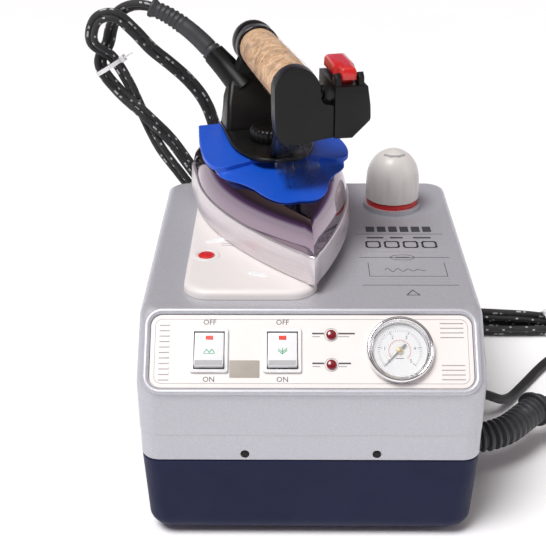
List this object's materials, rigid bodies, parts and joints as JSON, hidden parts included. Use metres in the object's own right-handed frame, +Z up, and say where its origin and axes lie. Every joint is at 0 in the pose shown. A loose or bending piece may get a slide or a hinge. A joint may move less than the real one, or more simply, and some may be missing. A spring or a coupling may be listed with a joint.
{
  "type": "steam generator iron",
  "caption": "Counter-top boiler unit with rocker switches, a pressure gauge and a filler cap, and a cork-handled steam iron resting on its mat, with a coiled lead and a bundled line.",
  "frame": {"origin": "centre of the box around the unit and its iron, without the free lines, on the surface that the feet stand on", "axes": "+Z up, +Y towards the back of the unit, +X to the right as seen from the control panel"},
  "size_m": [0.582, 0.3303, 0.3254],
  "materials": {
    "housing_paint": "silver-grey metallic lacquer",
    "navy_plastic": "fine matt moulding",
    "cream_plastic": "satin",
    "mat_silicone": "matt silicone",
    "red_plastic": "glossy",
    "black_plastic": "satin",
    "rubber": "matt",
    "white_plastic": "glossy",
    "cap_plastic": "satin",
    "chrome": "polished",
    "aluminium": "satin",
    "brass": "machined",
    "steel": "plain",
    "blue_plastic": "glossy",
    "cork": "bare cork",
    "lamp_red": "glossy",
    "clear_glass": "clear"
  },
  "bodies": {
    "unit": {"base_tub": "navy_plastic", "foot_front_left": "rubber", "foot_front_right": "rubber", "foot_rear_left": "rubber", "foot_rear_right": "rubber", "upper_housing": "housing_paint", "front_screw_left": "black_plastic", "front_screw_right": "black_plastic", "control_panel": "cream_plastic", "switch_bezel_left": "white_plastic", "switch_bezel_right": "white_plastic", "lamp_water": "lamp_red", "lamp_steam": "lamp_red", "gauge_case": "chrome", "gauge_dial": "white_plastic", "gauge_glass": "clear_glass", "iron_rest_mat": "mat_silicone", "rest_stud": "red_plastic", "filler_neck": "brass", "cap_gasket": "red_plastic", "boiler_tank": "steel", "boiler_end_plate": "steel", "boiler_heater": "steel", "boiler_cradle_front": "steel", "boiler_cradle_rear": "steel", "solenoid_valve": "brass", "steam_pipe": "brass", "terminal_block": "white_plastic", "outlet_gland": "black_plastic", "mains_gland": "rubber", "line_hank": "rubber", "line_run": "rubber", "line_tail": "rubber", "outlet_sleeve": "black_plastic", "mains_cord": "rubber", "mains_cord_end": "rubber", "mains_coil": "rubber", "mains_plug": "rubber", "tie_upper": "white_plastic"},
    "iron": {"soleplate": "aluminium", "sole_heater": "steel", "chrome_cover": "chrome", "heat_shield": "blue_plastic", "handle_shoe": "black_plastic", "front_post": "black_plastic", "rear_post": "black_plastic", "cork_grip": "cork", "grip_end_cap": "black_plastic", "switch_box": "black_plastic", "microswitch": "white_plastic", "strain_relief": "rubber", "line_loop": "rubber"},
    "steam_button": {"steam_button": "red_plastic"},
    "thermostat": {"thermostat_knob": "black_plastic"},
    "switch_left": {"rocker_left": "white_plastic"},
    "switch_right": {"rocker_right": "white_plastic"},
    "needle": {"gauge_needle": "black_plastic"},
    "cap_body": {"cap_plug": "brass"},
    "cap_knob": {"cap_knob": "cap_plastic"}
  },
  "joints": [
    {"name": "iron_lift", "type": "slide", "parent": "unit", "child": "iron", "axis": [0, 0, 1], "range_m": [0, 0.06]},
    {"name": "steam_button_press", "type": "slide", "parent": "iron", "child": "steam_button", "axis": [0, 0, -1], "range_m": [0, 0.003], "stiffness_N_per_m": 400},
    {"name": "thermostat_turn", "type": "hinge", "parent": "iron", "child": "thermostat", "pos_m": [-0.02972, 0.05939, 0.2406], "axis": [0, 0, 1], "range_deg": [0, 270]},
    {"name": "rocker_left_tilt", "type": "hinge", "parent": "unit", "child": "switch_left", "pos_m": [-0.07, -0.12778, 0.14748], "axis": [1, 0, 0], "range_deg": [0, 24]},
    {"name": "rocker_right_tilt", "type": "hinge", "parent": "unit", "child": "switch_right", "pos_m": [-0.0198, -0.12778, 0.14748], "axis": [1, 0, 0], "range_deg": [0, 24]},
    {"name": "needle_turn", "type": "hinge", "parent": "unit", "child": "needle", "pos_m": [0.0605, -0.12686, 0.14698], "axis": [0, 0.7046, -0.7096], "range_deg": [0, 270]},
    {"name": "cap_lift", "type": "slide", "parent": "unit", "child": "cap_body", "axis": [0, 0, 1], "range_m": [0, 0.01]},
    {"name": "cap_turn", "type": "hinge", "parent": "cap_body", "child": "cap_knob", "pos_m": [0.0705, 0.0735, 0.1676], "axis": [0, 0, 1], "range_deg": [0, 1440]}
  ],
  "couplings": [
    {"joint": "cap_turn", "follows": "cap_lift", "rad_per_m": 2513.3}
  ]
}
